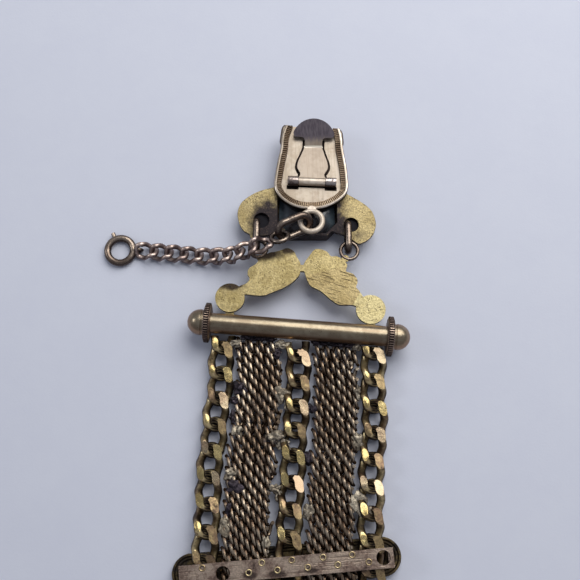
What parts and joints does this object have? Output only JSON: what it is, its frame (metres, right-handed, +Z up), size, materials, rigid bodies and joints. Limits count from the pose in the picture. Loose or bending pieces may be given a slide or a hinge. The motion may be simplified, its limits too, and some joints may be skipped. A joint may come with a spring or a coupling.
{
  "type": "watch fob",
  "caption": "Victorian vest watch fob lying on its front: chains and woven mesh bands between a bar and a slide, scalloped plates, a stone setting, a spring clip and a safety chain.",
  "frame": {"origin": "bottom centre of the whole fob as it lies, on the table", "axes": "+X across the strap, +Y along the strap towards the clip, +Z up through the fob's back"},
  "size_m": [0.0518, 0.0834, 0.0068],
  "materials": {
    "clip_metal": "worn bright gold",
    "plate_brass": "dull, pitted",
    "bar_brass": "worn satin",
    "collar_metal": "milled, tarnished",
    "chain_gold": "planed, worn",
    "mesh_wire": "dark patina",
    "ring_metal": "tarnished",
    "dark_chain": "copper brown, tarnished",
    "strip_metal": "worn through, scratched",
    "dark_glass": "dark glass stone"
  },
  "bodies": {
    "fob": {"clip_plate": "clip_metal", "clip_pin": "clip_metal", "plaque": "plate_brass", "stone": "dark_glass", "plaque_link_left": "ring_metal", "plaque_link_right": "ring_metal", "bar_bracket": "plate_brass", "collar_left": "collar_metal", "collar_right": "collar_metal", "knob_left": "bar_brass", "knob_right": "bar_brass", "clip_link": "ring_metal", "chain_link": "ring_metal", "safety_chain": "dark_chain", "chain_clasp": "ring_metal", "mesh_left": "mesh_wire", "mesh_right": "mesh_wire", "slide_front": "plate_brass", "slide_back": "strip_metal", "end_bar": "bar_brass", "curb_left_0": "chain_gold", "curb_left_1": "chain_gold", "curb_left_2": "chain_gold", "curb_left_3": "chain_gold", "curb_left_4": "chain_gold", "curb_left_5": "chain_gold", "curb_left_6": "chain_gold", "curb_left_7": "chain_gold", "curb_left_8": "chain_gold", "curb_left_9": "chain_gold", "curb_middle_0": "chain_gold", "curb_middle_1": "chain_gold", "curb_middle_2": "chain_gold", "curb_middle_3": "chain_gold", "curb_middle_4": "chain_gold", "curb_middle_5": "chain_gold", "curb_middle_6": "chain_gold", "curb_middle_7": "chain_gold", "curb_middle_8": "chain_gold", "curb_middle_9": "chain_gold", "curb_right_0": "chain_gold", "curb_right_1": "chain_gold", "curb_right_2": "chain_gold", "curb_right_3": "chain_gold", "curb_right_4": "chain_gold", "curb_right_5": "chain_gold", "curb_right_6": "chain_gold", "curb_right_7": "chain_gold", "curb_right_8": "chain_gold", "curb_right_9": "chain_gold"},
    "lever": {"clip_lever": "clip_metal"}
  },
  "joints": [
    {"name": "lever_hinge", "type": "hinge", "parent": "fob", "child": "lever", "pos_m": [0.00989, 0.03034, 0.00395], "axis": [0.999, -0.0436, 0], "range_deg": [0, 80], "stiffness_Nm_per_rad": 0.0002, "springref_deg": -17.19}
  ]
}
